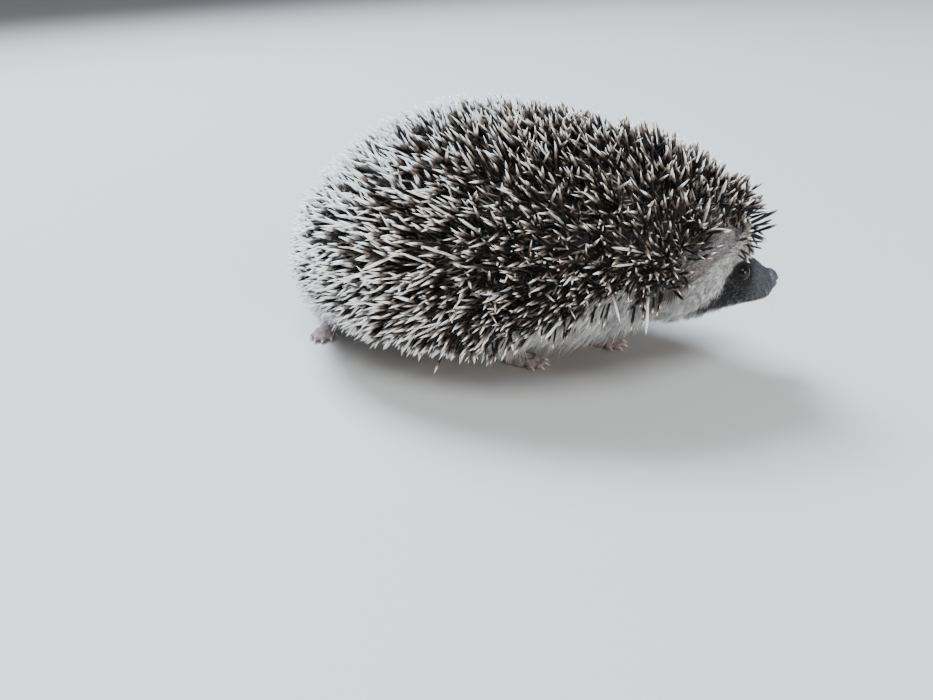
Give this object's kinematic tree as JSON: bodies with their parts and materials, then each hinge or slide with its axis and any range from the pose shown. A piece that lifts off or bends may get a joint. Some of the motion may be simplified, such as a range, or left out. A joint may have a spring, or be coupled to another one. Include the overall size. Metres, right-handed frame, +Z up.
{
  "type": "african pygmy hedgehog",
  "caption": "Life-size still model of a small spiny hedgehog in mid-step, with banded quills over its back, a pale furred face and belly, and bare feet.",
  "frame": {"origin": "on the floor under the middle of the body's box", "axes": "+X from tail to head, +Y to the animal's left, +Z up"},
  "size_m": [0.1856, 0.11, 0.096],
  "materials": {
    "quill": "banded cream, brown-black and cream quills, satin",
    "fur": "soft white to grey-beige fur",
    "face": "short pale fur of the forehead, cheek and ear",
    "mask": "short dark fur of the muzzle and round the eye",
    "nose": "damp, finely pebbled skin",
    "eye": "wet and very glossy",
    "skin": "creased grey-pink skin of the feet and tail",
    "claw": "smooth pale horn"
  },
  "bodies": {
    "root": {"right_fore_claw_1": "claw", "right_fore_claw_2": "claw", "right_fore_claw_3": "claw", "right_fore_claw_4": "claw", "right_fore_claw_5": "claw", "left_fore_claw_1": "claw", "left_fore_claw_2": "claw", "left_fore_claw_3": "claw", "left_fore_claw_4": "claw", "left_fore_claw_5": "claw", "right_hind_claw_1": "claw", "right_hind_claw_2": "claw", "right_hind_claw_3": "claw", "right_hind_claw_4": "claw", "left_hind_claw_1": "claw", "left_hind_claw_2": "claw", "left_hind_claw_3": "claw", "left_hind_claw_4": "claw", "right_fore_foot": "skin", "left_fore_foot": "skin", "right_hind_foot": "skin", "left_hind_foot": "skin", "right_eye": "eye", "left_eye": "eye", "nose": "nose", "right_ear": "face", "left_ear": "face", "lower_jaw": "mask", "muzzle": "mask", "head": "face", "right_fore_leg": "fur", "left_fore_leg": "fur", "right_hind_leg": "fur", "left_hind_leg": "fur", "tail": "skin", "rump_quills": "quill", "back_quills": "quill", "shoulder_quills": "quill", "crown_quills": "quill", "haunch": "fur", "belly": "fur", "chest": "fur", "neck": "fur"}
  },
  "joints": []
}
